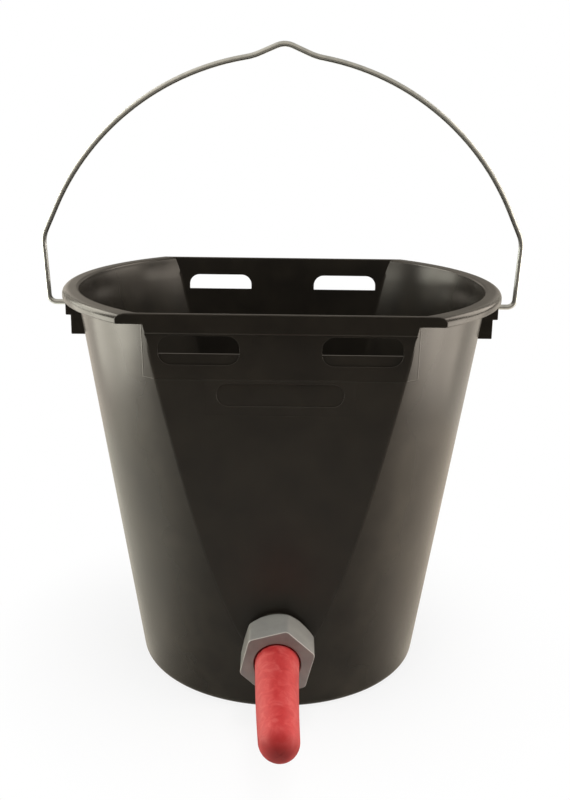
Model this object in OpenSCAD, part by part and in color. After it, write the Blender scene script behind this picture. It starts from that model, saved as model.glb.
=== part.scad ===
// Calf feeder bucket: moulded pail, wire bail and a screwed-in teat valve.
// Millimetres. The origin is the centre of the base's underside, +Z is up and -Y is the teat side.

/* [Pail] */
// Height from the base to the top of the rim
bucket_h = 264; // [240:1:290]
// Outside radius of the wall at the base
base_r = 96.5; // [92:0.5:99]
// Outside radius of the wall at the rim
top_r = 136; // [130:0.5:142]
// Thickness of the wall
wall_t = 2.4; // [2:0.1:3]
// Thickness of the base
base_t = 3; // [2.4:0.1:4.5]
// Outside rounding between wall and base
base_edge_r = 6; // [4:0.5:9]

/* [Rim] */
// How far the rim stands out beyond the top of the wall
rim_out = 9; // [8:0.5:11]
// Height of the rim's outer edge
rim_h = 6.4; // [5.6:0.2:8]
// Rounding of the rim's outer top edge
rim_round = 3.4; // [3:0.2:5]
// Rounding of the rim's inner top edge
rim_in_round = 2; // [1:0.2:2.4]
// Thickness of the rim around its hollow underside
rim_t = 2.4; // [2:0.1:3]

/* [Flat sides] */
// Distance from the axis to a flat side, at the base
flat_base_d = 100.6; // [99.6:0.2:102]
// Distance from the axis to a flat side, at the rim
flat_top_d = 108.7; // [107:0.1:111]
// Height of the plain band along the top of a flat side
band_h = 12; // [11:0.5:13]
// How far the band stands proud of the flat side
band_proud = 0.6; // [0.3:0.1:1.2]
// Rounding of the rim where it crosses a flat side
lip_round = 1.1; // [0.6:0.1:1.2]

/* [Hanging slots] */
// Width of a slot
slot_w = 47.4; // [42:0.2:50]
// Height of a slot, seen from outside
slot_h = 17.4; // [15:0.2:19]
// Corner radius of a slot
slot_r = 7.5; // [5:0.5:7.5]
// Distance between the centres of a side's two slots
slot_pitch = 95.4; // [92:0.2:98]
// Strip of wall between the band and the top of a slot
slot_gap = 1; // [0.8:0.2:2]
// Height of the sill that closes the lower part of a slot
sill_h = 6.4; // [5:0.2:8]
// Thickness of the web that makes that sill, level with the wall's inside
sill_t = 1.4; // [1:0.1:1.8]

/* [Badge place] */
// Width of the bare badge recess
badge_w = 76; // [60:1:90]
// Height of the badge recess
badge_h = 14.5; // [12:0.5:18]
// Depth of the badge recess
badge_deep = 0.6; // [0.3:0.1:1]
// Distance from the top of the rim down to the middle of the badge
badge_drop = 48.5; // [44:0.5:70]

/* [Bail ears] */
// Width of an ear along the pail's side
ear_w = 22; // [18:0.5:26]
// Height of an ear's upper block, below the rim
ear_upper_h = 15.4; // [14:0.2:18]
// Height of an ear's lower block
ear_lower_h = 13; // [8:0.5:18]
// How far the ear's face sits inside the rim's outer edge
ear_inset = 0.8; // [0.4:0.1:1.2]
// How far the lower block sits back from the upper one
ear_step = 3.3; // [2:0.1:4]
// Wall thickness of the cored lower block
ear_t = 3; // [2.4:0.1:3.4]
// Distance from the top of the rim down to the bail's axis
pivot_drop = 15; // [13:0.5:17]

/* [Bail] */
// Wire diameter
wire_d = 3.5; // [3:0.1:4]
// Gap between the rim and the middle of the wire's lower bend
bail_gap = 11.6; // [8:0.2:14]
// How far a leg leans out up to its shoulder
leg_lean = 1.8; // [0.5:0.1:4]
// Height of the shoulder above the axis
shoulder_rise = 43.5; // [38:0.5:50]
// How far the arch's corner lies inside the shoulder
crown_in = 47.5; // [42:0.5:54]
// Height of the arch's corner above the axis
crown_rise = 144.2; // [138:0.1:150]
// Half the width of the hanging peak
peak_half_w = 21; // [17:0.5:25]
// Height of the foot of the peak above the axis
peak_foot_rise = 159.2; // [155:0.2:162]
// Height of the peak's corner above the axis
peak_rise = 167.5; // [165:0.5:174]
// Bend radius at the foot of a leg
knee_r = 5; // [4:0.5:7]
// Bend radius at the shoulder and at the foot of the peak
shoulder_r = 10; // [8:0.5:14]
// Bend radius at the top of the peak
peak_r = 9; // [6:0.5:12]
// How far the wire's end reaches into the hollow of the ear
wire_end = 2.5; // [1.5:0.1:3]

/* [Valve place] */
// Height of the valve's axis where it meets the wall
valve_z = 52.5; // [47:0.5:70]
// Downward tilt of the valve's axis
valve_tilt = 5; // [3:0.5:7]
// Radius of the thick place around the valve hole, inside the pail
boss_r = 25; // [24.5:0.5:28]
// Radius of the low pad around the valve hole, outside the pail
pad_r = 19.8; // [19:0.1:20]
// Thickness of the wall at the valve
boss_t = 7; // [6:0.5:9]
// How far the pad stands out of the wall
boss_proud = 0.9; // [0.8:0.1:2]

/* [Valve body] */
// Outside radius of the spigot
spigot_r = 17.2; // [16.6:0.1:17.6]
// How far the spigot stands out of the pad
spigot_out = 16.5; // [15:0.5:17.5]
// Radius of the flange inside the pail
flange_r = 24; // [22:0.5:26]
// Thickness of the flange
flange_t = 4; // [3.6:0.2:6]
// Radius of the inlet hole
inlet_r = 5; // [4:0.1:5.2]
// Depth of the straight inlet hole
inlet_h = 7; // [5:0.5:8]
// Radius of the ball's chamber
chamber_r = 9.5; // [9:0.1:10.5]
// Width of a guide rib in the chamber
rib_w = 2; // [1.5:0.1:3]

/* [Seals] */
// Thickness of the gasket inside the pail
gasket_t = 2; // [1.5:0.1:3]
// Thickness of the washer outside the pail
washer_t = 1.4; // [1:0.1:2]
// Outside radius of the gasket
gasket_r = 23; // [21:0.5:24]
// Outside radius of the washer
washer_r = 19.8; // [19:0.1:20.2]

/* [Ball and cage] */
// Radius of the ball
ball_r = 7.5; // [7:0.1:8]
// Radius of the cage
cage_r = 13.4; // [12:0.1:13.6]
// Thickness of the cage
cage_t = 3; // [2:0.5:4]
// Radius of the cage's open middle
cage_open_r = 9; // [8:0.1:9.4]
// Width of the cage's bars
cage_bar = 2.6; // [2:0.1:4]

/* [Union nut] */
// Size across flats
nut_af = 41.8; // [41:0.1:46]
// Height of the nut
nut_h = 23.2; // [21.5:0.1:26]
// Turn of the hexagon in its tightened place
nut_turn = 16.4; // [0:0.1:60]
// Height of the rear chamfer
nut_rear = 5.2; // [3:0.2:7]
// Radius of the hole for the teat
nut_hole_r = 14.5; // [14.2:0.1:15]

/* [Teat] */
// Free length in front of the nut
teat_l = 83.4; // [70:0.1:95]
// Radius at the nut's face
teat_root_r = 13.6; // [13.2:0.02:13.9]
// Radius of the rounded tip
teat_tip_r = 11.75; // [10.5:0.05:12.5]
// Thickness of the rubber
teat_t = 4; // [3:0.1:5]
// Thickness of the clamped flange
teat_flange_t = 3.5; // [3:0.1:4]
// Length of each cut of the cross slit
slit_w = 8; // [6:0.5:10]
// Width of each cut
slit_gap = 0.5; // [0.3:0.1:1]

/* [Clearances] */
// Running clearance of the wire in its ears and of the nut on its thread
run_clear = 0.08; // [0.02:0.01:0.1]
// Loose clearance around fixed pieces that are pushed in by hand
loose_clear = 0.3; // [0.2:0.05:0.5]
// Gap between the ball and whatever it rests on or slides past
ball_clear = 0.15; // [0.05:0.05:0.3]

/* [Hidden] */
$fn = 96;
eps = 0.5;
wall_k = (top_r - base_r) / bucket_h;
wall_a = atan(wall_k);
rim_r = top_r + rim_out;
rim_z = bucket_h - rim_h;
band_z = bucket_h - band_h;
flat_k = (flat_top_d - flat_base_d) / bucket_h;
flat_a = atan(flat_k);
lip_d = flat_base_d + flat_k * band_z + band_proud;
slot_z1 = band_z - slot_gap;
slot_z0 = slot_z1 - slot_h;
sill_z = slot_z0 + sill_h;
badge_z = bucket_h - badge_drop;
pivot_z = bucket_h - pivot_drop;
ear_z1 = rim_z - ear_upper_h;
ear_z0 = ear_z1 - ear_lower_h;
ear_x = rim_r - ear_inset;
ear_core_x = ear_x - ear_step - ear_t;
wire_r = wire_d / 2;
valve_y = min(flat_out(valve_z), wall_out(valve_z));
flange_u = -boss_t - gasket_t;
seat_u = flange_u - flange_t + inlet_h;
ball_u = seat_u - inlet_r + (ball_r + ball_clear) * sqrt(2);
cage_u = spigot_out - cage_t;
nut_face_u = washer_t + nut_h;
nut_corner_r = nut_af / 2 / cos(30);
teat_u1 = spigot_out + teat_flange_t;
teat_tip_u = nut_face_u + teat_l - teat_tip_r;
teat_k = (teat_root_r - teat_tip_r) / (teat_tip_u - nut_face_u);

// Radius of the wall's outside and inside at height z
function wall_out(z) = base_r + wall_k * z;
function wall_in(z) = wall_out(z) - wall_t / cos(wall_a);
// Distance of a flat side's outside and inside from the axis at height z
function flat_out(z) = flat_base_d + flat_k * z;
function flat_in(z) = flat_out(z) - wall_t / cos(flat_a);
// Points of an arc, and a point list mirrored to the other side
function arc(cx, cy, r, a0, a1, n) =
    [for (i = [0 : n]) let (a = a0 + (a1 - a0) * i / n) [cx + r * cos(a), cy + r * sin(a)]];
function flipped(pts) = [for (i = [len(pts) - 1 : -1 : 0]) [-pts[i][0], pts[i][1]]];

// Outline of the pail's outside, from the axis round to the rim's top
module outer_profile() {
    edge_x = wall_out(base_edge_r) - base_edge_r / cos(wall_a);
    polygon(concat(
        [[0, 0]],
        arc(edge_x, base_edge_r, base_edge_r, -90, -wall_a, 6),
        [[wall_out(rim_z), rim_z], [rim_r, rim_z]],
        arc(rim_r - rim_round, bucket_h - rim_round, rim_round, 0, 90, 6),
        [[0, bucket_h]]));
}

// Outline of the space inside the pail, open at the top
module cavity_profile() {
    in_r = base_edge_r - wall_t;
    edge_z = base_t + in_r;
    edge_x = wall_in(edge_z) - in_r / cos(wall_a);
    top_x = wall_in(bucket_h - rim_in_round) + rim_in_round;
    polygon(concat(
        [[0, base_t]],
        arc(edge_x, edge_z, in_r, -90, -wall_a, 5),
        arc(top_x, bucket_h - rim_in_round, rim_in_round, 180, 90, 4),
        [[top_x, bucket_h + 1], [0, bucket_h + 1]]));
}

// Outline of the hollow under the rim
module channel_profile() {
    x0 = wall_out(rim_z) + eps;
    x1 = rim_r - rim_t;
    z1 = bucket_h - rim_t;
    bevel = rim_t / 2;
    polygon([[x0, rim_z - 1], [x1, rim_z - 1], [x1, z1 - bevel], [x1 - bevel, z1], [x0, z1]]);
}

// A slab along X whose half outline, in Y and Z, is given
module slab(half) {
    rotate([90, 0, 90])
        linear_extrude(height = 3 * rim_r, center = true)
            polygon(concat(half, flipped(half)));
}

// Outside of the pail with its two flat sides
module pail_outside() {
    intersection() {
        rotate_extrude() outer_profile();
        slab(concat(
            [[flat_out(-1), -1], [flat_out(band_z), band_z], [lip_d, band_z + band_proud]],
            arc(lip_d - lip_round, bucket_h - lip_round, lip_round, 0, 90, 4)));
    }
}

// Space inside the pail, which follows the flat sides
module pail_inside() {
    top_y = flat_in(bucket_h - lip_round) + lip_round;
    intersection() {
        rotate_extrude() cavity_profile();
        slab(concat(
            [[flat_in(-1), -1]],
            arc(top_y, bucket_h - lip_round, lip_round, 180, 90, 4),
            [[top_y, bucket_h + 2]]));
    }
}

// Hollow under the rim, closed off where the flat sides cut the rim
module rim_channel() {
    y1 = lip_d - wall_t;
    intersection() {
        rotate_extrude() channel_profile();
        translate([-1.5 * rim_r, -y1, 0]) cube([3 * rim_r, 2 * y1, bucket_h]);
    }
}

// The two stepped ears under the rim, reaching into the wall
module ear_blocks() {
    x0 = wall_in(ear_z0) - ear_w;
    for (side = [0, 1]) mirror([side, 0, 0]) {
        translate([x0, -ear_w / 2, ear_z1])
            cube([ear_x - x0, ear_w, bucket_h - rim_t + eps - ear_z1]);
        translate([x0, -ear_w / 2, ear_z0])
            cube([ear_x - ear_step - x0, ear_w, ear_z1 - ear_z0 + eps]);
    }
}

// Hollow in each ear, open downwards, and the hole for the wire
module ear_cuts() {
    core_w = ear_w - 2 * ear_t;
    core_h = pivot_z + wire_d + 1 - ear_z0;
    for (side = [0, 1]) mirror([side, 0, 0]) {
        difference() {
            translate([0, -core_w / 2, ear_z0 - 1]) cube([ear_core_x, core_w, core_h]);
            cylinder(h = bucket_h, r1 = base_r + eps, r2 = top_r + eps);
        }
        translate([wall_out(pivot_z) + 1, 0, pivot_z])
            rotate([0, 90, 0])
                cylinder(h = 2 * rim_out, r = wire_r + run_clear);
    }
}

// Rounded rectangle about the origin
module rounded_rect(w, h, r) {
    polygon(concat(
        arc(w / 2 - r, h / 2 - r, r, 0, 90, 6),
        arc(r - w / 2, h / 2 - r, r, 90, 180, 6),
        arc(r - w / 2, r - h / 2, r, 180, 270, 6),
        arc(w / 2 - r, r - h / 2, r, 270, 360, 6)));
}

// Children repeated at the four slots, with +Z outwards and zero on the inside of the wall at the sill
module at_slots() {
    for (side = [0, 1], across = [-1, 1])
        mirror([0, side, 0])
            translate([across * slot_pitch / 2, -flat_in((slot_z0 + sill_z) / 2), (slot_z0 + slot_z1) / 2])
                rotate([90, 0, 0])
                    children();
}

// Slots: a recess that leaves the web of the sill, and a way through above it
module slot_cuts() {
    deep = 4 * wall_t;
    at_slots() {
        translate([0, 0, sill_t])
            linear_extrude(height = deep) rounded_rect(slot_w, slot_h, slot_r);
        intersection() {
            translate([0, 0, -deep])
                linear_extrude(height = 2 * deep) rounded_rect(slot_w, slot_h, slot_r);
            translate([-slot_w, sill_h - slot_h / 2, -1.5 * deep])
                cube([2 * slot_w, slot_h, 3 * deep]);
        }
    }
}

// Shallow pill-shaped recess for the badge, left bare
module badge_cut() {
    translate([0, -flat_out(badge_z), badge_z])
        rotate([90 + flat_a, 0, 0])
            translate([0, 0, -badge_deep])
                linear_extrude(height = 2 * wall_t) {
                    square([badge_w - badge_h, badge_h], center = true);
                    translate([(badge_w - badge_h) / 2, 0]) circle(r = badge_h / 2);
                    translate([(badge_h - badge_w) / 2, 0]) circle(r = badge_h / 2);
                }
}

// Children in the valve's own frame: +Z out along its axis, zero on the pad's face
module on_valve() {
    translate([0, -valve_y, valve_z])
        rotate([90 + valve_tilt, 0, 0])
            translate([0, 0, boss_proud])
                children();
}

// Room in front of the pad and behind the thick place, so that both seals lie on flat faces
module spot_faces() {
    on_valve() {
        cylinder(h = 4 * boss_t, r = boss_r);
        translate([0, 0, -5 * boss_t]) cylinder(h = 4 * boss_t, r = boss_r);
    }
}

module bucket_shell() {
    color("#2b2822")
    difference() {
        union() {
            difference() {
                pail_outside();
                rim_channel();
            }
            ear_blocks();
            on_valve() translate([0, 0, -boss_t]) cylinder(h = boss_t, r = pad_r);
        }
        difference() {
            pail_inside();
            on_valve() translate([0, 0, -boss_t]) cylinder(h = 3 * boss_t, r = boss_r);
        }
        ear_cuts();
        spot_faces();
        on_valve() translate([0, 0, -2 * boss_t]) cylinder(h = 3 * boss_t, r = spigot_r + loose_clear);
        slot_cuts();
        badge_cut();
    }
}

// Turn at corner b of the path a-b-c, and the length its bend takes up on each side
function turn(a, b, c) =
    let (u = b - a, v = c - b) atan2(u[0] * v[1] - u[1] * v[0], u[0] * v[0] + u[1] * v[1]);
function bend_len(a, b, c, r) = r * tan(abs(turn(a, b, c)) / 2);

// Stations [x, z, heading] round the bend of radius r at corner b
function bend(a, b, c, r) =
    let (t = turn(a, b, c),
         d = b - a,
         h = atan2(d[1], d[0]),
         s = sign(t),
         start = b - bend_len(a, b, c, r) * [cos(h), sin(h)],
         centre = start + s * r * [-sin(h), cos(h)],
         n = ceil(abs(t) / (r > 10 * wire_d ? 3 : 15)))
    [for (i = [0 : n])
        let (g = h + t * i / n) [centre[0] + s * r * sin(g), centre[1] - s * r * cos(g), g]];

// Round bar of radius r through a list of stations
module swept_bar(stations, r) {
    m = 16;
    n = len(stations);
    points = [for (p = stations, j = [0 : m - 1])
        let (c = r * cos(360 * j / m), y = r * sin(360 * j / m))
        [p[0] - c * sin(p[2]), y, p[1] + c * cos(p[2])]];
    sides = [for (i = [0 : n - 2], j = [0 : m - 1], k = [0, 1])
        let (a = i * m + j, b = i * m + (j + 1) % m)
        k == 0 ? [a, b, b + m] : [a, b + m, a + m]];
    polyhedron(points, concat(
        [[for (j = [m - 1 : -1 : 0]) j]],
        sides,
        [[for (j = [0 : m - 1]) (n - 1) * m + j]]));
}

module bail() {
    knee = [rim_r + bail_gap, pivot_z];
    shoulder = [knee[0] + leg_lean, pivot_z + shoulder_rise];
    crown = [shoulder[0] - crown_in, pivot_z + crown_rise];
    foot = [peak_half_w, pivot_z + peak_foot_rise];
    arch_len = min(norm(crown - shoulder), norm(foot - crown)) - shoulder_r / 3;
    arch_r = arch_len / tan(abs(turn(shoulder, crown, foot)) / 2);
    pin_x0 = ear_core_x - wire_end;
    pin_x1 = knee[0] - bend_len([0, pivot_z], knee, shoulder, knee_r) - eps;
    half = [[pin_x1 - wire_r, pivot_z], knee, shoulder, crown, foot];
    path = concat(half, [[0, pivot_z + peak_rise]], flipped(half));
    side_r = [0, knee_r, shoulder_r, arch_r, shoulder_r];
    radii = concat(side_r, [peak_r], [for (i = [len(side_r) - 1 : -1 : 0]) side_r[i]]);
    last = len(path) - 1;
    color("#b9babb") {
        swept_bar(concat(
            [[path[0][0], path[0][1], 0]],
            [for (i = [1 : last - 1]) each bend(path[i - 1], path[i], path[i + 1], radii[i])],
            [[path[last][0], path[last][1], 0]]), wire_r * 0.99);
        for (side = [0, 1])
            mirror([side, 0, 0])
                translate([pin_x0, 0, pivot_z])
                    rotate([0, 90, 0])
                        cylinder(h = pin_x1 - pin_x0, r = wire_r);
    }
}

module valve_body() {
    cage_seat_r = cage_r + loose_clear / 2;
    inner_u = flange_u - flange_t;
    seat_top = seat_u + chamber_r - inlet_r;
    rib_in = ball_r + ball_clear;
    rib_u = seat_u + rib_in - inlet_r - eps;
    color("#c9c7c1")
    on_valve() {
        rotate_extrude()
            polygon([[inlet_r, inner_u], [flange_r, inner_u], [flange_r, flange_u], [spigot_r, flange_u],
                     [spigot_r, spigot_out], [cage_seat_r, spigot_out], [cage_seat_r, cage_u],
                     [chamber_r, cage_u], [chamber_r, seat_top], [inlet_r, seat_u]]);
        for (i = [0 : 3])
            rotate([0, 0, 45 + 90 * i])
                translate([rib_in, -rib_w / 2, rib_u])
                    cube([chamber_r - rib_in + eps, rib_w, cage_u - eps - rib_u]);
    }
}

// Flat ring around the spigot, of a given radius, between two heights of the valve's frame
module seal_ring(r, u0, u1) {
    on_valve()
        rotate_extrude()
            translate([spigot_r + loose_clear, u0])
                square([r - spigot_r - loose_clear, u1 - u0]);
}

module flange_gasket() {
    color("#1b1b1c")
    seal_ring(gasket_r, flange_u, -boss_t);
}

module wall_washer() {
    color("#1b1b1c")
    seal_ring(washer_r, 0, washer_t);
}

module ball_cage() {
    color("#c9c7c1")
    on_valve()
        translate([0, 0, cage_u])
            difference() {
                cylinder(h = cage_t, r = cage_r);
                difference() {
                    translate([0, 0, -1]) cylinder(h = cage_t + 2, r = cage_open_r);
                    for (a = [0, 90])
                        rotate([0, 0, a])
                            translate([-cage_r, -cage_bar / 2, -2])
                                cube([2 * cage_r, cage_bar, cage_t + 4]);
                }
            }
}

module valve_ball() {
    color("#e6e2d6")
    on_valve()
        translate([0, 0, ball_u])
            sphere(r = ball_r);
}

module teat() {
    flange_x = spigot_r - loose_clear;
    neck_r = teat_root_r + teat_k * (nut_face_u - teat_u1);
    color("#cf4548")
    on_valve()
        difference() {
            rotate_extrude()
                polygon(concat(
                    [[neck_r - teat_t, spigot_out], [flange_x, spigot_out], [flange_x, teat_u1],
                     [neck_r, teat_u1]],
                    arc(0, teat_tip_u, teat_tip_r, 0, 90, 10),
                    arc(0, teat_tip_u, teat_tip_r - teat_t, 90, 0, 8)));
            for (a = [45, 135])
                rotate([0, 0, a])
                    translate([-slit_w / 2, -slit_gap / 2, teat_tip_u])
                        cube([slit_w, slit_gap, teat_tip_r + 1]);
        }
}

module union_nut() {
    thread_r = spigot_r + run_clear;
    color("#a9aaa8")
    on_valve()
        difference() {
            intersection() {
                translate([0, 0, washer_t])
                    rotate([0, 0, nut_turn])
                        cylinder(h = nut_h, r = nut_corner_r, $fn = 6);
                rotate_extrude()
                    polygon([[0, washer_t - 1], [nut_af / 2, washer_t - 1], [nut_af / 2, washer_t],
                             [nut_corner_r + eps, washer_t + nut_rear], [nut_corner_r + eps, nut_face_u + 1],
                             [0, nut_face_u + 1]]);
            }
            translate([0, 0, washer_t - 1]) cylinder(h = teat_u1 - washer_t + 1, r = thread_r);
            cylinder(h = nut_face_u + 1, r = nut_hole_r);
        }
}

bucket_shell();
bail();
valve_body();
flange_gasket();
wall_washer();
ball_cage();
valve_ball();
teat();
union_nut();
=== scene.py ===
import math

import bmesh
import bpy
from mathutils import Matrix, Vector


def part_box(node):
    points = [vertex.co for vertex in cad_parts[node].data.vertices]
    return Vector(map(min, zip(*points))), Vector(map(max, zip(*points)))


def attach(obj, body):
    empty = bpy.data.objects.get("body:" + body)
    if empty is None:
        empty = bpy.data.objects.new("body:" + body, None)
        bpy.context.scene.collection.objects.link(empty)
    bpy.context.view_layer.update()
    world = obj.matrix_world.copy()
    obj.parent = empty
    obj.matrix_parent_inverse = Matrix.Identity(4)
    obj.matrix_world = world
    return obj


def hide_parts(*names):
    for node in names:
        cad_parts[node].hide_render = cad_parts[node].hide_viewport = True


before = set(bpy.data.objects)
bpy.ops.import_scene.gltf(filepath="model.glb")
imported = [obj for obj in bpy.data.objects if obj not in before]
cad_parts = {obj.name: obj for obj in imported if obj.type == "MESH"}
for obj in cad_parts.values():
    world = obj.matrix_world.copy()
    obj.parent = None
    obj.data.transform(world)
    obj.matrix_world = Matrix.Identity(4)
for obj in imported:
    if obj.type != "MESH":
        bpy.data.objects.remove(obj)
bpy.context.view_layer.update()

# The pail: one injection moulding of black polypropylene. Two drafted flats cut its round taper at the
# front and the back, the rim is a hollow channel, and two cored ears under it carry the bail.
mm = 0.001
_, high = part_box("bucket_shell")
height, rim_r, lip_d = high.z, high.x, high.y
base_r = 96.5 * mm
rim_out = 9 * mm
wall_t = 2.4 * mm
base_t = 3 * mm
base_edge_r = 6 * mm
rim_h = 6.4 * mm
rim_skirt = 2.5 * mm
rim_roll = 4.6 * mm
rim_in_round = 2 * mm
mouth_flare = 0.9 * mm
mouth_flare_h = 14 * mm
flat_base_d = 100.6 * mm
flat_top_d = 108.7 * mm
band_h = 12 * mm
band_proud = 0.6 * mm
lip_round = 0.7 * mm
lip_end_round = 0.4 * mm
skirt_round = 0.8 * mm
crease_r = 1.2 * mm
gate_r = 5 * mm
gate_deep = 0.6 * mm
merge_d = 0.002 * mm
top_r = rim_r - rim_out
rim_z = height - rim_h
band_z = height - band_h
wall_k = (top_r - base_r) / height
wall_a = math.atan(wall_k)
flat_k = (flat_top_d - flat_base_d) / height
flat_a = math.atan(flat_k)


def wall_out(z):
    """Radius of the wall's outside at a height."""
    return base_r + wall_k * z


def wall_in(z):
    """Radius of the wall's inside at a height."""
    return wall_out(z) - wall_t / math.cos(wall_a)


def flat_out(z):
    """Distance of a flat's outside from the axis at a height."""
    return flat_base_d + flat_k * z


def flat_in(z):
    """Distance of a flat's inside from the axis at a height."""
    return flat_out(z) - wall_t / math.cos(flat_a)


def arc(x, z, r, start, end, steps=10):
    """Points of an arc in an outline, from one angle in degrees to another."""
    angles = [math.radians(start + (end - start) * i / steps) for i in range(steps + 1)]
    return [(x + r * math.cos(a), z + r * math.sin(a)) for a in angles]


def spun(outline, steps=360):
    """A solid turned about Z from an outline that starts and ends on the axis, or closes on itself."""
    bm = bmesh.new()
    verts = [bm.verts.new((r, 0, z)) for r, z in outline]
    edges = [bm.edges.new(pair) for pair in zip(verts, verts[1:])]
    bmesh.ops.spin(bm, geom=verts + edges, cent=(0, 0, 0), axis=(0, 0, 1), dvec=(0, 0, 0),
                   angle=math.tau, steps=steps, use_merge=True)
    bmesh.ops.remove_doubles(bm, verts=bm.verts, dist=merge_d)
    bmesh.ops.recalc_face_normals(bm, faces=bm.faces)
    return bm


def prism(corners, along):
    """A solid pushed along a vector from a flat outline of 3-D points."""
    bm = bmesh.new()
    face = bm.faces.new([bm.verts.new(corner) for corner in corners])
    pushed = bmesh.ops.extrude_face_region(bm, geom=[face], use_keep_orig=True)["geom"]
    bmesh.ops.translate(bm, verts=[v for v in pushed if isinstance(v, bmesh.types.BMVert)], vec=along)
    bmesh.ops.recalc_face_normals(bm, faces=bm.faces)
    return bm


def slab(half):
    """A solid along X whose outline in Y and Z is given by its half on the positive side."""
    outline = half + [(-y, z) for y, z in reversed(half)]
    return prism([(-2 * rim_r, y, z) for y, z in outline], (4 * rim_r, 0, 0))


def moved(bm, matrix):
    """The mesh, put in another place."""
    bmesh.ops.transform(bm, matrix=matrix, verts=bm.verts)
    return bm


def soften(bm, edges, width, segments=3):
    """Rounds the given edges."""
    bmesh.ops.bevel(bm, geom=edges, offset=width, offset_type="OFFSET", segments=segments, profile=0.5,
                    affect="EDGES", material=-1, clamp_overlap=False)


def sharp_edges(bm, degrees=25):
    """The edges at which two faces meet at more than an angle."""
    return [e for e in bm.edges if e.is_manifold and e.calc_face_angle() > math.radians(degrees)]


def carve(bm, operation, tool):
    """The solid with the tool's solid cut away, added, or kept where both are."""
    works = []
    for part in (bm, tool):
        mesh = bpy.data.meshes.new("work")
        part.to_mesh(mesh)
        part.free()
        works.append(bpy.data.objects.new("work", mesh))
        bpy.context.scene.collection.objects.link(works[-1])
    modifier = works[0].modifiers.new("carve", "BOOLEAN")
    modifier.operation = operation
    modifier.object = works[1]
    modifier.solver = "MANIFOLD"
    bpy.context.view_layer.update()
    result = bmesh.new()
    result.from_object(works[0], bpy.context.evaluated_depsgraph_get())
    for work in works:
        bpy.data.meshes.remove(work.data)
    return result


def flat_creases(bm):
    """The edges at which a flat meets the round wall, below the band."""
    lean = Vector((0, math.cos(flat_a), -math.sin(flat_a)))
    normals = (lean, Vector((0, -lean.y, lean.z)))

    def on_flat(face):
        return any(abs(face.normal.dot(n)) > 0.99995 for n in normals)

    return [e for e in bm.edges if e.is_manifold and on_flat(e.link_faces[0]) != on_flat(e.link_faces[1])
            and max(v.co.z for v in e.verts) < band_z - 0.1 * mm]


edge_x = wall_out(base_edge_r) - base_edge_r / math.cos(wall_a)
pail = spun([(0, gate_deep), (gate_r, gate_deep), (gate_r + gate_deep, 0)]
            + arc(edge_x, base_edge_r, base_edge_r, -90, -math.degrees(wall_a))
            + [(wall_out(rim_z), rim_z)]
            + arc(rim_r - skirt_round, rim_z + skirt_round, skirt_round, -90, 0, 4)
            + [(rim_r - rim_roll * (1 - x), rim_z + rim_skirt + (rim_h - rim_skirt) * z)
               for x, z in arc(0, 0, 1, 0, 90, 14)]
            + [(0, height)])
pail = carve(pail, "INTERSECT", slab(
    [(flat_out(-mm), -mm), (flat_out(band_z), band_z), (lip_d, band_z + band_proud)]
    + arc(lip_d - lip_round, height - lip_round, lip_round, 0, 90, 6)))
soften(pail, flat_creases(pail), crease_r)
lip_ends = [e for e in sharp_edges(pail) if min(v.co.z for v in e.verts) > band_z + 0.1 * mm]
soften(pail, lip_ends, lip_end_round, 2)

# The valve sits low on the front and points down by a few degrees. The wall is thick around its hole, and
# outside it has a low pad there.
valve_z = 52.5 * mm
valve_tilt = math.radians(5)
pad_r = 19.8 * mm
pad_proud = 0.9 * mm
pad_round = 0.4 * mm
boss_r = 25 * mm
boss_t = 7 * mm
hole_r = 17.5 * mm
on_valve = (Matrix.Translation((0, -flat_out(valve_z), valve_z))
            @ Matrix.Rotation(math.pi / 2 + valve_tilt, 4, "X")
            @ Matrix.Translation((0, 0, pad_proud)))
pad = spun([(0, -boss_t), (pad_r, -boss_t)] + arc(pad_r - pad_round, -pad_round, pad_round, 0, 90, 4)
           + [(0, 0)], 120)
pail = carve(pail, "UNION", moved(pad, on_valve))

in_r = base_edge_r - wall_t
in_z = base_t + in_r
in_x = wall_in(in_z) - in_r / math.cos(wall_a)
mouth_x = wall_in(height - rim_in_round) + mouth_flare + rim_in_round
mouth_y = flat_in(height - lip_round) + lip_round
flare_z = height - rim_in_round - mouth_flare_h
flare_steps = [(i / 10, flare_z + mouth_flare_h * i / 10) for i in range(10)]
inside = spun([(0, base_t)]
              + arc(in_x, in_z, in_r, -90, -math.degrees(wall_a))
              + [(wall_in(z) + mouth_flare * t * t, z) for t, z in flare_steps]
              + arc(mouth_x, height - rim_in_round, rim_in_round, 180, 90, 8)
              + [(mouth_x, height + mm), (0, height + mm)])
inside = carve(inside, "INTERSECT", slab(
    [(flat_in(-mm), -mm)]
    + arc(mouth_y, height - lip_round, lip_round, 180, 90, 6)
    + [(mouth_y, height + 2 * mm)]))
soften(inside, [e for e in flat_creases(inside) if min(v.co.z for v in e.verts) > base_t + mm], crease_r)
boss = spun([(0, -boss_t)] + arc(boss_r - mm, mm - boss_t, mm, -90, 0, 4)
            + [(boss_r, 2 * boss_t), (0, 2 * boss_t)], 120)
inside = carve(inside, "DIFFERENCE", moved(boss, on_valve))
pail = carve(pail, "DIFFERENCE", inside)
hole = spun([(0, -2 * boss_t), (hole_r, -2 * boss_t), (hole_r, boss_t), (0, boss_t)], 120)
pail = carve(pail, "DIFFERENCE", moved(hole, on_valve))

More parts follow.
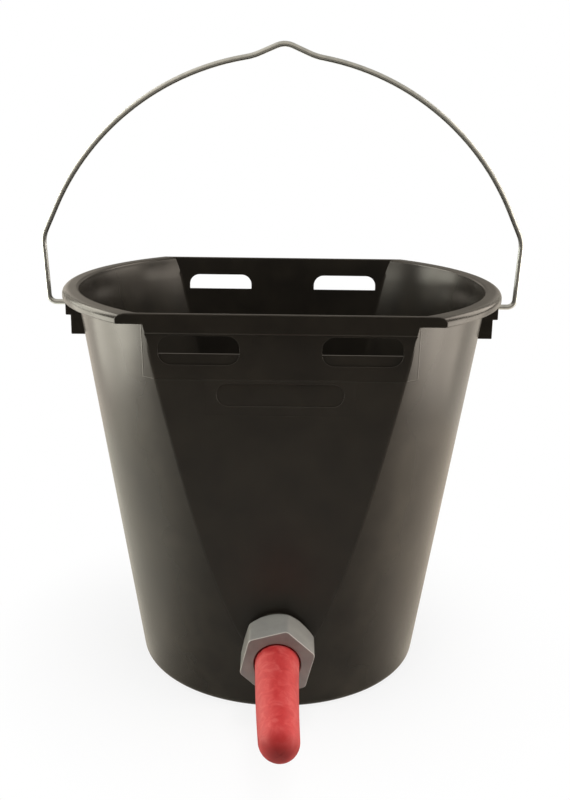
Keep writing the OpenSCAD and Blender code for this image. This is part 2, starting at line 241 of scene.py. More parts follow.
# The hollow under the rim keeps the moulding's thickness even. It ends short of the flats.
rim_t = 2.4 * mm
core_gap = 0.5 * mm
channel_x0 = wall_out(rim_z) + core_gap
channel_x1 = rim_r - rim_t
channel_top = height - rim_t
channel = spun([(channel_x0, rim_z - mm), (channel_x1, rim_z - mm), (channel_x1, channel_top - rim_t / 2),
                (channel_x1 - rim_t / 2, channel_top), (channel_x0, channel_top), (channel_x0, rim_z - mm)])
channel_y = lip_d - wall_t
channel = carve(channel, "INTERSECT", slab([(channel_y, 0), (channel_y, 2 * height)]))
pail = carve(pail, "DIFFERENCE", channel)

# Each ear is a stepped block under the rim, cored from below, with a hole for the bail's end.
ear_w = 22 * mm
ear_z1 = rim_z - 15.4 * mm
ear_z0 = ear_z1 - 13 * mm
ear_x = rim_r - 0.8 * mm
ear_step = 3.3 * mm
ear_t = 3 * mm
ear_round = 0.5 * mm
ear_top = height - rim_t + 0.5 * mm
core_x = ear_x - ear_step - ear_t
core_w = ear_w - 2 * ear_t
pivot_z = height - 15 * mm
core_top = pivot_z + 4.5 * mm
bore_r = 1.83 * mm
for side in (1, -1):
    back = [(wall_out(z) - wall_t / 2, z) for z in (ear_z0, ear_top)]
    outline = [back[0], (ear_x - ear_step, ear_z0), (ear_x - ear_step, ear_z1), (ear_x, ear_z1),
               (ear_x, ear_top), back[1]]
    ear = prism([(side * x, -ear_w / 2, z) for x, z in outline], (0, ear_w, 0))
    soften(ear, sharp_edges(ear), ear_round, 2)
    pail = carve(pail, "UNION", ear)
for side in (1, -1):
    outline = [(wall_out(ear_z0) + core_gap, ear_z0 - mm), (core_x, ear_z0 - mm), (core_x, core_top),
               (wall_out(core_top) + core_gap, core_top)]
    core = prism([(side * x, -core_w / 2, z) for x, z in outline], (0, core_w, 0))
    pail = carve(pail, "DIFFERENCE", core)
    bore_x = wall_out(pivot_z) + mm
    bore = spun([(0, bore_x), (bore_r, bore_x), (bore_r, 2 * rim_r), (0, 2 * rim_r)], 32)
    place = Matrix.Translation((0, 0, pivot_z)) @ Matrix.Rotation(side * math.pi / 2, 4, "Y")
    pail = carve(pail, "DIFFERENCE", moved(bore, place))

# Two slots on each flat take the hooks of a hanging bracket. A thin web left in each one's lower part is
# its sill.
slot_w = 47.4 * mm
slot_h = 17.4 * mm
slot_r = 7.5 * mm
slot_pitch = 95.4 * mm
slot_z = band_z - mm - slot_h / 2
slot_flare = 0.25 * mm
sill_h = 6.4 * mm
sill_t = 1.4 * mm
slip = 0.1 * mm


def rounded(w, h, r):
    """Outline of a rectangle with round corners about the origin."""
    corners = [(1, 1, 0), (-1, 1, 90), (-1, -1, 180), (1, -1, 270)]
    points = [p for sx, sy, a in corners for p in arc(sx * (w / 2 - r), sy * (h / 2 - r), r, a, a + 90, 8)]
    return [p for p, last in zip(points, points[-1:] + points[:-1]) if math.dist(p, last) > 0.001 * mm]


def flared(outline, flare, deep):
    """A cutter whose mouth opens in a quarter round at z = 0, and which ends at a depth below it."""
    tool = prism([(x, y, mm) for x, y in outline], (0, 0, -mm))
    bottom = min(tool.faces, key=lambda face: face.calc_center_median().z)
    steps = 4
    for i in range(steps):
        a0, a1 = (math.pi / 2 * k / steps for k in (i, i + 1))
        bmesh.ops.inset_region(tool, faces=[bottom], thickness=flare * (math.sin(a1) - math.sin(a0)),
                               depth=flare * (math.cos(a0) - math.cos(a1)), use_even_offset=True)
    bmesh.ops.inset_region(tool, faces=[bottom], thickness=0.01 * mm, depth=deep - flare,
                           use_even_offset=True)
    bmesh.ops.recalc_face_normals(tool, faces=tool.faces)
    return tool


for side in (0, math.pi):
    for across in (-1, 1):
        place = (Matrix.Rotation(side, 4, "Z")
                 @ Matrix.Translation((across * slot_pitch / 2, -flat_out(slot_z), slot_z))
                 @ Matrix.Rotation(math.pi / 2 + flat_a, 4, "X"))
        recess = flared(rounded(slot_w + 2 * slot_flare, slot_h + 2 * slot_flare, slot_r + slot_flare),
                        slot_flare, wall_t - sill_t)
        pail = carve(pail, "DIFFERENCE", moved(recess, place))
        way = prism([(x, y, -3 * wall_t) for x, y in rounded(slot_w - slip, slot_h - slip, slot_r)],
                    (0, 0, 4 * wall_t))
        bmesh.ops.bisect_plane(way, geom=way.verts[:] + way.edges[:] + way.faces[:],
                               plane_co=(0, sill_h - slot_h / 2, 0), plane_no=(0, 1, 0), clear_inner=True)
        bmesh.ops.holes_fill(way, edges=[e for e in way.edges if e.is_boundary])
        bmesh.ops.recalc_face_normals(way, faces=way.faces)
        pail = carve(pail, "DIFFERENCE", moved(way, place))

# A shallow pill-shaped recess on the front is the badge's place, left bare.
badge_w = 76 * mm
badge_h = 14.5 * mm
badge_deep = 0.6 * mm
badge_flare = 0.5 * mm
badge_z = height - 48.5 * mm
badge = flared(rounded(badge_w, badge_h, badge_h / 2), badge_flare, badge_deep)
place = Matrix.Translation((0, -flat_out(badge_z), badge_z)) @ Matrix.Rotation(math.pi / 2 + flat_a, 4, "X")
pail = carve(pail, "DIFFERENCE", moved(badge, place))


def linear(code):
    """A colour's linear red, green, blue and alpha from its sRGB hex code."""
    parts = [int(code[i:i + 2], 16) / 255 for i in (1, 3, 5)]
    return [p / 12.92 if p <= 0.04045 else ((p + 0.055) / 1.055) ** 2.4 for p in parts] + [1]


def add_node(tree, kind, inputs=None, stops=(), **settings):
    """A node with its settings, a ramp's stops, and inputs that are values, sockets or other nodes."""
    node = tree.nodes.new("ShaderNode" + kind)
    for name, value in settings.items():
        setattr(node, name, value)
    for i, (position, code) in enumerate(stops):
        elements = node.color_ramp.elements
        element = elements[i] if i < len(elements) else elements.new(position)
        element.position = position
        element.color = linear(code)
    for name, value in (inputs or {}).items():
        if isinstance(value, bpy.types.Node):
            value = value.outputs[0]
        if isinstance(value, bpy.types.NodeSocket):
            tree.links.new(value, node.inputs[name])
        else:
            node.inputs[name].default_value = value
    return node


def new_material(name):
    """A material with an empty node tree, and that tree."""
    material = bpy.data.materials.new(name)
    material.use_nodes = True
    material.node_tree.nodes.clear()
    return material, material.node_tree


def finish_piece(bm, name, material, body, slot, *nodes):
    """Makes a mesh an object with a material that rides on a body and stands for CAD nodes."""
    mesh = bpy.data.meshes.new(name)
    bm.to_mesh(mesh)
    bm.free()
    mesh.shade_smooth()
    mesh.set_sharp_from_angle(angle=math.radians(35))
    mesh.materials.clear()
    mesh.materials.append(material)
    piece = bpy.data.objects.new(name, mesh)
    bpy.context.scene.collection.objects.link(piece)
    weighted = piece.modifiers.new("even shading", "WEIGHTED_NORMAL")
    weighted.keep_sharp = True
    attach(piece, body)
    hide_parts(*nodes)
    return piece


# Black polypropylene, moulded: a dark brown-black skin with a soft gloss. Uneven shrinkage leaves broad
# shallow waves, and handling leaves smears and a greyer film on the round sides. The mould's polished insert
# leaves fine raised lines at its edges, and the flats are duller below it. Heights here are in millimetres.
wave_size = 45 * mm
wave_rise = 0.3
smear_size = 26 * mm
film_size = 34 * mm
flat_dulled = 0.12
insert_z = 224.7 * mm
panel_insert = (80.8 * mm, insert_z, 300 * mm, 0.05)
badge_insert = (44.5 * mm, 203 * mm, insert_z, 0.03)
polypropylene, tree = new_material("black_moulded_polypropylene")
place = add_node(tree, "TexCoord").outputs["Object"]
axes = add_node(tree, "SeparateXYZ", {"Vector": place}).outputs
from_axis = add_node(tree, "Math", {0: axes["Y"]}, operation="ABSOLUTE")
flat_here = add_node(tree, "MapRange", {"Value": axes["Z"], "From Max": height,
                                        "To Min": flat_base_d, "To Max": flat_top_d})
from_flat = add_node(tree, "Math", {0: from_axis, 1: flat_here}, operation="SUBTRACT")
round_skin = add_node(tree, "MapRange", {"Value": from_flat, "From Min": -11 * mm, "From Max": -2 * mm,
                                         "To Min": 1.0, "To Max": 0.0}, interpolation_type="SMOOTHSTEP")
smears = add_node(tree, "TexNoise", {"Vector": place, "Scale": 1 / smear_size, "Distortion": 0.3})
skin = add_node(tree, "ValToRGB", {"Fac": smears}, stops=((0.3, "#282521"), (0.7, "#302c26")))
film = add_node(tree, "TexNoise", {"Vector": place, "Scale": 1 / film_size, "Roughness": 0.4,
                                   "Distortion": 0.4})
film = add_node(tree, "MapRange", {"Value": film, "From Min": 0.42, "From Max": 0.75})
film = add_node(tree, "Math", {0: film, 1: round_skin}, operation="MULTIPLY")
# A Mix node's inputs 6 and 7 are its two colours, and its output 2 is their mixture.
filmed = add_node(tree, "Mix", {0: film, 6: skin, 7: linear("#38342d")}, data_type="RGBA")
on_flat = add_node(tree, "Math", {0: from_flat, 1: -0.3 * mm}, operation="GREATER_THAN")
below = add_node(tree, "Math", {0: axes["Z"], 1: insert_z}, operation="LESS_THAN")
dull_flat = add_node(tree, "Math", {0: on_flat, 1: below}, operation="MULTIPLY")
dullness = add_node(tree, "MapRange", {"Value": smears, "From Min": 0.3, "From Max": 0.7,
                                       "To Min": 0.21, "To Max": 0.265})
dullness = add_node(tree, "Math", {0: dull_flat, 1: flat_dulled, 2: dullness}, operation="MULTIPLY_ADD")
waves = add_node(tree, "TexNoise", {"Vector": place, "Scale": 1 / wave_size, "Detail": 1.0})
relief = add_node(tree, "Math", {0: waves, 1: wave_rise}, operation="MULTIPLY")
front = add_node(tree, "Math", {0: axes["Y"], 1: 0.0}, operation="LESS_THAN")
for half_w, z0, z1, rise in (panel_insert, badge_insert):
    aside = add_node(tree, "Math", {0: axes["X"]}, operation="ABSOLUTE")
    aside = add_node(tree, "Math", {0: aside, 1: half_w}, operation="SUBTRACT")
    above = add_node(tree, "Math", {0: axes["Z"], 1: (z0 + z1) / 2}, operation="SUBTRACT")
    above = add_node(tree, "Math", {0: above}, operation="ABSOLUTE")
    above = add_node(tree, "Math", {0: above, 1: (z1 - z0) / 2}, operation="SUBTRACT")
    line = add_node(tree, "Math", {0: aside, 1: above}, operation="MAXIMUM")
    line = add_node(tree, "Math", {0: line}, operation="ABSOLUTE")
    line = add_node(tree, "MapRange", {"Value": line, "From Min": 0.1 * mm, "From Max": 0.4 * mm,
                                       "To Min": rise, "To Max": 0.0})
    relief = add_node(tree, "Math", {0: line, 1: front, 2: relief}, operation="MULTIPLY_ADD")
normal = add_node(tree, "Bump", {"Height": relief, "Distance": mm})
surface = add_node(tree, "BsdfPrincipled", {"Base Color": filmed.outputs[2], "Roughness": dullness,
                                            "IOR": 1.49, "Normal": normal})
add_node(tree, "OutputMaterial", {"Surface": surface})
finish_piece(pail, "pail", polypropylene, "bucket", "pail_plastic", "bucket_shell")

# The valve body: a turned-looking moulding of light grey plastic. Its flange seals inside the pail, and its
# threaded spigot comes out through the hole with the ball's chamber in it.
flange_r = 24 * mm
flange_t = 4 * mm
gasket_t = 2 * mm
spigot_r = 17.2 * mm
spigot_out = 16.5 * mm
inlet_r = 5 * mm
inlet_h = 7 * mm
chamber_r = 9.5 * mm
cage_r = 13.4 * mm
cage_t = 3 * mm
cage_gap = 0.15 * mm
cage_seat_r = cage_r + cage_gap
ball_gap = 0.15 * mm
rib_w = 2 * mm
rib_sink = 0.5 * mm
rib_short = 0.5 * mm
ball_r = 7.5 * mm
rib_in = ball_r + ball_gap
flange_u = -boss_t - gasket_t
inner_u = flange_u - flange_t
seat_u = inner_u + inlet_h
cage_u = spigot_out - cage_t
pitch = 3 * mm
thread_root_r = spigot_r - 1.2 * mm
thread_start = 2 * mm
thread_turns = 4
thread_crest = 0.4 * mm
thread_foot = 0.9 * mm
thread_sink = 0.4 * mm
soft = 0.5 * mm
body = spun([(inlet_r, inner_u + soft)] + arc(inlet_r + soft, inner_u + soft, soft, 180, 270, 4)
            + arc(flange_r - soft, inner_u + soft, soft, -90, 0, 4)
            + arc(flange_r - soft, flange_u - soft, soft, 0, 90, 4)
            + [(spigot_r, flange_u), (spigot_r, 0), (thread_root_r, mm)]
            + arc(thread_root_r - soft, spigot_out - soft, soft, 0, 90, 4)
            + [(cage_seat_r, spigot_out), (cage_seat_r, cage_u), (chamber_r, cage_u),
               (chamber_r, seat_u + chamber_r - inlet_r), (inlet_r, seat_u), (inlet_r, inner_u + soft)], 120)
for i in range(4):
    rib_u = seat_u + rib_in - inlet_r - rib_sink
    rib = prism([(x, y, rib_u) for x, y in ((rib_in, -rib_w / 2), (chamber_r + rib_sink, -rib_w / 2),
                                            (chamber_r + rib_sink, rib_w / 2), (rib_in, rib_w / 2))],
                (0, 0, cage_u - rib_short - rib_u))
    body = carve(body, "UNION", moved(rib, Matrix.Rotation(math.radians(45 + 90 * i), 4, "Z")))
thread = bmesh.new()
profile = [(thread_root_r - thread_sink, -thread_foot), (spigot_r, -thread_crest), (spigot_r, thread_crest),
           (thread_root_r - thread_sink, thread_foot)]
first = thread.faces.new([thread.verts.new((r, 0, thread_start + u)) for r, u in profile])
turn_steps = 72
bmesh.ops.spin(thread, geom=first.verts[:] + first.edges[:] + [first], cent=(0, 0, 0), axis=(0, 0, 1),
               dvec=(0, 0, pitch / turn_steps), angle=math.tau * thread_turns,
               steps=turn_steps * thread_turns)
bmesh.ops.recalc_face_normals(thread, faces=thread.faces)
body = moved(carve(body, "UNION", thread), on_valve)

# Light grey plastic, moulded: an even pale grey with faint flow clouds and a fine spark-eroded grain.
pale_grey, tree = new_material("pale_grey_moulded_plastic")
place = add_node(tree, "TexCoord").outputs["Object"]
clouds = add_node(tree, "TexNoise", {"Vector": place, "Scale": 1 / (8 * mm), "Detail": 3.0})
colour = add_node(tree, "ValToRGB", {"Fac": clouds}, stops=((0.3, "#bdbbb5"), (0.7, "#cbc9c3")))
patches = add_node(tree, "TexNoise", {"Vector": place, "Scale": 1 / (3 * mm)})
dullness = add_node(tree, "MapRange", {"Value": patches, "From Min": 0.3, "From Max": 0.7,
                                       "To Min": 0.4, "To Max": 0.5})
grain = add_node(tree, "TexNoise", {"Vector": place, "Scale": 1 / (0.7 * mm)})
normal = add_node(tree, "Bump", {"Height": grain, "Distance": 0.03 * mm, "Strength": 0.5})
surface = add_node(tree, "BsdfPrincipled", {"Base Color": colour, "Roughness": dullness, "Normal": normal})
add_node(tree, "OutputMaterial", {"Surface": surface})
finish_piece(body, "valve_spigot", pale_grey, "bucket", "valve_plastic", "valve_body")

# The gasket inside the pail and the washer outside it: flat rings of black rubber, squeezed between the
# wall and the valve's flange and nut, so their free edges bulge a little.
seal_in = spigot_r + 0.3 * mm
washer_t = 1.4 * mm
washer_r = 19.8 * mm
gasket_r = 23 * mm


def seal(r, u0, u1):
    """A flat ring around the spigot with a bulging edge."""
    bulge = (u1 - u0) / 2
    return moved(spun([(seal_in, u1), (seal_in, u0)]
                      + arc(r - bulge, u0 + bulge, bulge, -90, 90, 8) + [(seal_in, u1)], 120), on_valve)


# Black rubber: dull and slightly dusty, with a fine grain.
black_rubber, tree = new_material("black_seal_rubber")
place = add_node(tree, "TexCoord").outputs["Object"]
dust = add_node(tree, "TexNoise", {"Vector": place, "Scale": 1 / (5 * mm), "Detail": 4.0})
colour = add_node(tree, "ValToRGB", {"Fac": dust}, stops=((0.35, "#141414"), (0.7, "#222120")))
patches = add_node(tree, "TexNoise", {"Vector": place, "Scale": 1 / (2 * mm)})
dullness = add_node(tree, "MapRange", {"Value": patches, "From Min": 0.3, "From Max": 0.7,
                                       "To Min": 0.6, "To Max": 0.8})
grain = add_node(tree, "TexNoise", {"Vector": place, "Scale": 1 / (0.5 * mm)})
normal = add_node(tree, "Bump", {"Height": grain, "Distance": 0.05 * mm, "Strength": 0.6})
surface = add_node(tree, "BsdfPrincipled", {"Base Color": colour, "Roughness": dullness, "Normal": normal})
add_node(tree, "OutputMaterial", {"Surface": surface})
finish_piece(seal(gasket_r, flange_u, -boss_t), "gasket_ring", black_rubber, "bucket", "seal_rubber",
             "flange_gasket")
finish_piece(seal(washer_r, 0, washer_t), "washer_ring", black_rubber, "bucket", "seal_rubber",
             "wall_washer")

# The ball: white plastic, moulded in two halves, with a fine parting line round it. It closes the inlet when
# the calf lets go.
ball_u = seat_u - inlet_r + rib_in * math.sqrt(2)
seam_h = 0.05 * mm
ball = spun(arc(0, ball_u, ball_r - seam_h, -90, -1.5, 24) + [(ball_r, ball_u)]
            + arc(0, ball_u, ball_r - seam_h, 1.5, 90, 24), 72)

# White plastic, moulded: a warm white with milk stains in faint clouds.
white_plastic, tree = new_material("white_moulded_plastic")
place = add_node(tree, "TexCoord").outputs["Object"]
stains = add_node(tree, "TexNoise", {"Vector": place, "Scale": 1 / (6 * mm), "Detail": 4.0})
colour = add_node(tree, "ValToRGB", {"Fac": stains}, stops=((0.35, "#e3ddcd"), (0.7, "#ece8de")))
patches = add_node(tree, "TexNoise", {"Vector": place, "Scale": 1 / (4 * mm)})
dullness = add_node(tree, "MapRange", {"Value": patches, "From Min": 0.3, "From Max": 0.7,
                                       "To Min": 0.3, "To Max": 0.42})
grain = add_node(tree, "TexNoise", {"Vector": place, "Scale": 1 / (0.9 * mm)})
normal = add_node(tree, "Bump", {"Height": grain, "Distance": 0.03 * mm, "Strength": 0.5})
surface = add_node(tree, "BsdfPrincipled", {"Base Color": colour, "Roughness": dullness, "Normal": normal})
add_node(tree, "OutputMaterial", {"Surface": surface})
finish_piece(moved(ball, on_valve), "check_ball", white_plastic, "ball", "ball_plastic", "valve_ball")

# The cage: a small wheel of the valve's plastic with two crossing bars, let into the spigot's end. It keeps
# the ball in.
cage_open_r = 9 * mm
cage_bar = 2.6 * mm
edge = 0.3 * mm
cage = spun([(cage_open_r, cage_u + edge)] + arc(cage_r - edge, cage_u + edge, edge, -90, 0, 3)
            + arc(cage_r - edge, spigot_out - edge, edge, 0, 90, 3) + [(cage_open_r, spigot_out),
                                                                     (cage_open_r, cage_u + edge)], 96)
for k in range(2):
    bar = prism([(sx * (cage_open_r + mm), sy * cage_bar / 2, cage_u + edge) for sx, sy in
                 ((-1, -1), (1, -1), (1, 1), (-1, 1))], (0, 0, cage_t - 2 * edge))
    soften(bar, sharp_edges(bar), edge, 3)
    cage = carve(cage, "UNION", moved(bar, Matrix.Rotation(k * math.pi / 2, 4, "Z")))
finish_piece(moved(cage, on_valve), "ball_keeper", pale_grey, "bucket", "valve_plastic", "ball_cage")

# The teat: soft red rubber, dipped over a former, so its wall is even and its end is round. A cross slit in
# the end lets milk through, and the nut clamps its flange onto the valve. It has bent a little to one side.
nut_h = 23.2 * mm
nut_face = washer_t + nut_h
teat_flange_r = 16.9 * mm
teat_flange_end = spigot_out + 3.5 * mm
teat_root_r = 13.6 * mm
teat_tip_r = 11.75 * mm
teat_out = 83.4 * mm
teat_tip = nut_face + teat_out - teat_tip_r
teat_t = 4 * mm
teat_bend = 2.4 * mm
teat_k = (teat_root_r - teat_tip_r) / (teat_tip - nut_face)
neck_r = teat_root_r + teat_k * (nut_face - teat_flange_end)
rings = 16
teat = spun([(neck_r - teat_t, spigot_out), (teat_flange_r, spigot_out), (teat_flange_r, teat_flange_end)]
            + [(neck_r - teat_k * (teat_tip - teat_flange_end) * i / rings,
                teat_flange_end + (teat_tip - teat_flange_end) * i / rings) for i in range(rings)]
            + arc(0, teat_tip, teat_tip_r, 0, 90, 16)
            + arc(0, teat_tip, teat_tip_r - teat_t, 90, 0, 10)
            + [(neck_r - teat_t, spigot_out)], 96)
slit_l = 8 * mm
slit_w = 0.12 * mm
for a in (45, 135):
    corners = ((1, 1), (-1, 1), (-1, -1), (1, -1))
    slit = prism([(sx * slit_l / 2, sy * slit_w / 2, teat_tip) for sx, sy in corners],
                 (0, 0, teat_tip_r + mm))
    teat = carve(teat, "DIFFERENCE", moved(slit, Matrix.Rotation(math.radians(a), 4, "Z")))
for v in teat.verts:
    free = max(0, v.co.z - nut_face) / teat_out
    v.co.x += teat_bend * free * free

# Red rubber, dipped and cured: a deep pinkish red under a pale dusty bloom that wipes off unevenly. Its end
# is painted darker, a painted shade where it faces the dark front.
rubber, tree = new_material("red_dipped_rubber")
place = add_node(tree, "TexCoord").outputs["Object"]
bloom = add_node(tree, "TexNoise", {"Vector": place, "Scale": 1 / (7 * mm), "Detail": 6.0, "Roughness": 0.65,
                                    "Distortion": 0.8})
bloomed = add_node(tree, "ValToRGB", {"Fac": bloom},
                   stops=((0.34, "#c02e30"), (0.5, "#cb3e3e"), (0.66, "#d35755")))
# Painted shade: the colour darkens towards the end of the tip, which faces the dark front.
tip = on_valve @ Vector((teat_bend, 0, teat_tip + teat_tip_r))
from_tip = add_node(tree, "VectorMath", {0: place, 1: tip}, operation="DISTANCE").outputs["Value"]
painted_tip_shade = add_node(tree, "MapRange", {"Value": from_tip, "From Min": 3 * mm, "From Max": 14 * mm,
                                     "To Min": 1.0, "To Max": 0.0})
with_painted_light = add_node(tree, "Mix", {0: painted_tip_shade, 6: bloomed, 7: linear("#ac2423")}, data_type="RGBA")
dullness = add_node(tree, "MapRange", {"Value": bloom, "From Min": 0.3, "From Max": 0.7,
                                       "To Min": 0.48, "To Max": 0.68})
grain = add_node(tree, "TexNoise", {"Vector": place, "Scale": 1 / (2.2 * mm), "Detail": 4.0})
normal = add_node(tree, "Bump", {"Height": grain, "Distance": 0.1 * mm, "Strength": 0.7})
surface = add_node(tree, "BsdfPrincipled", {
    "Base Color": with_painted_light.outputs[2], "Roughness": dullness, "IOR": 1.52, "Normal": normal,
    "Sheen Weight": 0.05, "Sheen Roughness": 0.5, "Sheen Tint": linear("#f0b8b0"),
    "Subsurface Weight": 0.12, "Subsurface Scale": 2 * mm, "Subsurface Radius": (1.0, 0.35, 0.3)})
add_node(tree, "OutputMaterial", {"Surface": surface})
finish_piece(moved(teat, on_valve), "teat_rubber", rubber, "teat", "teat_rubber", "teat")

# The union nut: a hexagon of grey polypropylene, moulded with its thread, that a hand turns to clamp the
# teat. Its rear corners are turned off round.
nut_af = 41.8 * mm
nut_corner = nut_af / 2 / math.cos(math.radians(30))
nut_turn = math.radians(16.4)
nut_rear = 5.2 * mm
nut_hole_r = 14.5 * mm
nut_thread_r = 17.28 * mm
corner_r = 1.8 * mm
face_edge = 0.5 * mm
corners = [nut_turn + k * math.pi / 3 for k in range(6)]
nut = prism([(nut_corner * math.cos(a), nut_corner * math.sin(a), washer_t) for a in corners], (0, 0, nut_h))
soften(nut, [e for e in nut.edges if abs(e.verts[0].co.z - e.verts[1].co.z) > nut_h / 2], corner_r, 5)
soften(nut, [e for e in nut.edges if min(v.co.z for v in e.verts) > nut_face - 0.1 * mm], face_edge, 4)
turned = spun([(0, washer_t - mm), (nut_af / 2, washer_t - mm), (nut_af / 2, washer_t),
               (nut_corner + 0.5 * mm, washer_t + nut_rear), (nut_corner + 0.5 * mm, nut_face + mm),
               (0, nut_face + mm)], 180)
nut = carve(nut, "INTERSECT", turned)
bore = spun([(0, washer_t - mm), (nut_thread_r, washer_t - mm), (nut_thread_r, teat_flange_end),
             (nut_hole_r, teat_flange_end)]
            + arc(nut_hole_r + face_edge, nut_face - face_edge, face_edge, 180, 90, 4)
            + [(nut_hole_r + face_edge, nut_face + mm), (0, nut_face + mm)], 120)
nut = carve(nut, "DIFFERENCE", bore)
nut.normal_update()
# The faces that round the front's outer edges are marked for a painted highlight.
painted_edge_highlight = nut.faces.layers.float.new("painted_edge_highlight")
for face in nut.faces:
    outer = face.calc_center_median().xy.length > nut_hole_r + 2 * face_edge
    face[painted_edge_highlight] = outer and 0.1 < face.normal.z < 0.98

# Grey polypropylene, moulded: an even mid grey with a fine spark-eroded grain and a slightly greasy sheen.
# The rounded edges of its front are painted pale, a painted highlight.
grey, tree = new_material("grey_moulded_polypropylene")
place = add_node(tree, "TexCoord").outputs["Object"]
clouds = add_node(tree, "TexNoise", {"Vector": place, "Scale": 1 / (9 * mm), "Detail": 3.0})
cloudy = add_node(tree, "ValToRGB", {"Fac": clouds}, stops=((0.3, "#908f8b"), (0.7, "#9c9b96")))
# Painted highlight: the marked edge faces take a pale grey.
painted_highlight_mask = add_node(tree, "Attribute", attribute_name="painted_edge_highlight").outputs["Fac"]
with_painted_light = add_node(tree, "Mix", {0: painted_highlight_mask, 6: cloudy, 7: linear("#cbc7c1")}, data_type="RGBA")
patches = add_node(tree, "TexNoise", {"Vector": place, "Scale": 1 / (4 * mm), "Detail": 3.0})
dullness = add_node(tree, "MapRange", {"Value": patches, "From Min": 0.3, "From Max": 0.7,
                                       "To Min": 0.28, "To Max": 0.38})
grain = add_node(tree, "TexNoise", {"Vector": place, "Scale": 1 / (0.7 * mm)})
normal = add_node(tree, "Bump", {"Height": grain, "Distance": 0.004 * mm, "Strength": 0.3})
surface = add_node(tree, "BsdfPrincipled", {"Base Color": with_painted_light.outputs[2], "Roughness": dullness,
                                            "IOR": 1.49, "Normal": normal})
add_node(tree, "OutputMaterial", {"Surface": surface})
finish_piece(moved(nut, on_valve), "union_nut_hex", grey, "nut", "nut_plastic", "union_nut")

# The bail: one length of 3.5 mm galvanised steel wire, bent cold. Its ends turn in the ears, and the small
# peak in its middle centres it on a hook.
wire_r = 1.75 * mm
knee = Vector((rim_r + 11.6 * mm, pivot_z))
shoulder = knee + Vector((2.2 * mm, 44 * mm))
crown = Vector((shoulder.x - 46.9 * mm, pivot_z + 143.4 * mm))
foot = Vector((20 * mm, pivot_z + 159.6 * mm))
peak = Vector((0, pivot_z + 168.2 * mm))
knee_r = 5 * mm
shoulder_r = 20 * mm
foot_r = 40 * mm
peak_r = 13 * mm
end_round = 0.3 * mm
wire_end = Vector((core_x - 2.5 * mm, pivot_z))


def turn_at(a, b, c):
    """The turn of a path at corner b, in radians, positive anticlockwise."""
    return -(b - a).angle_signed(c - b, 0)


arch_straight = 5.2 * mm
arch_len = min((crown - shoulder).length, (foot - crown).length) - arch_straight
arch_r = arch_len / math.tan(abs(turn_at(shoulder, crown, foot)) / 2)
half_path = [wire_end, knee, shoulder, crown, foot]
half_radii = [0, knee_r, shoulder_r, arch_r, foot_r]
path = half_path + [peak] + [Vector((-p.x, p.y)) for p in reversed(half_path)]
radii = half_radii + [peak_r] + half_radii[::-1]
wire = bmesh.new()
bmesh.ops.create_circle(wire, segments=20, radius=wire_r, cap_ends=True)
moved(wire, Matrix.Translation((path[0].x, 0, path[0].y)) @ Matrix.Rotation(math.pi / 2, 4, "Y"))
ring = wire.edges[:]
here = path[0]
for a, b, c, r in zip(path, path[1:], path[2:] + [None], radii[1:]):
    heading = (b - a).normalized()
    bend = turn_at(a, b, c) if c is not None else 0
    stop = b - heading * r * math.tan(abs(bend) / 2)
    run = stop - here
    pushed = bmesh.ops.extrude_edge_only(wire, edges=ring)["geom"]
    bmesh.ops.translate(wire, verts=[v for v in pushed if isinstance(v, bmesh.types.BMVert)],
                        vec=(run.x, 0, run.y))
    ring = [e for e in pushed if isinstance(e, bmesh.types.BMEdge)]
    if c is None:
        break
    centre = stop + math.copysign(r, bend) * Vector((-heading.y, heading.x))
    degrees_a_step = 2 if r > arch_r / 2 else 9
    bent = bmesh.ops.spin(wire, geom=ring, cent=(centre.x, 0, centre.y), axis=(0, -1, 0), dvec=(0, 0, 0),
                          angle=bend, steps=max(4, int(math.degrees(abs(bend)) / degrees_a_step)))
    ring = [e for e in bent["geom_last"] if isinstance(e, bmesh.types.BMEdge)]
    here = b + (c - b).normalized() * r * math.tan(abs(bend) / 2)
bmesh.ops.holes_fill(wire, edges=[e for e in wire.edges if e.is_boundary])
bmesh.ops.remove_doubles(wire, verts=wire.verts, dist=merge_d)
bmesh.ops.recalc_face_normals(wire, faces=wire.faces)
soften(wire, sharp_edges(wire, 60), end_round, 2)

# Galvanised steel wire: zinc over drawn steel, a bright grey with darker dull patches and a fine grit.
zinc, tree = new_material("galvanised_steel_wire")
place = add_node(tree, "TexCoord").outputs["Object"]
patches = add_node(tree, "TexNoise", {"Vector": place, "Scale": 1 / (7 * mm), "Detail": 4.0,
                                      "Roughness": 0.65})
colour = add_node(tree, "ValToRGB", {"Fac": patches}, stops=((0.35, "#c3c8c8"), (0.65, "#d6dad9")))
dullness = add_node(tree, "MapRange", {"Value": patches, "From Min": 0.3, "From Max": 0.7,
                                       "To Min": 0.42, "To Max": 0.32})
grit = add_node(tree, "TexNoise", {"Vector": place, "Scale": 1 / (2 * mm)})
normal = add_node(tree, "Bump", {"Height": grit, "Distance": 0.004 * mm, "Strength": 0.3})
surface = add_node(tree, "BsdfPrincipled", {"Base Color": colour, "Metallic": 1.0, "Roughness": dullness,
                                            "Normal": normal})
add_node(tree, "OutputMaterial", {"Surface": surface})
finish_piece(wire, "bail_wire", zinc, "bail", "galvanised_wire", "bail")

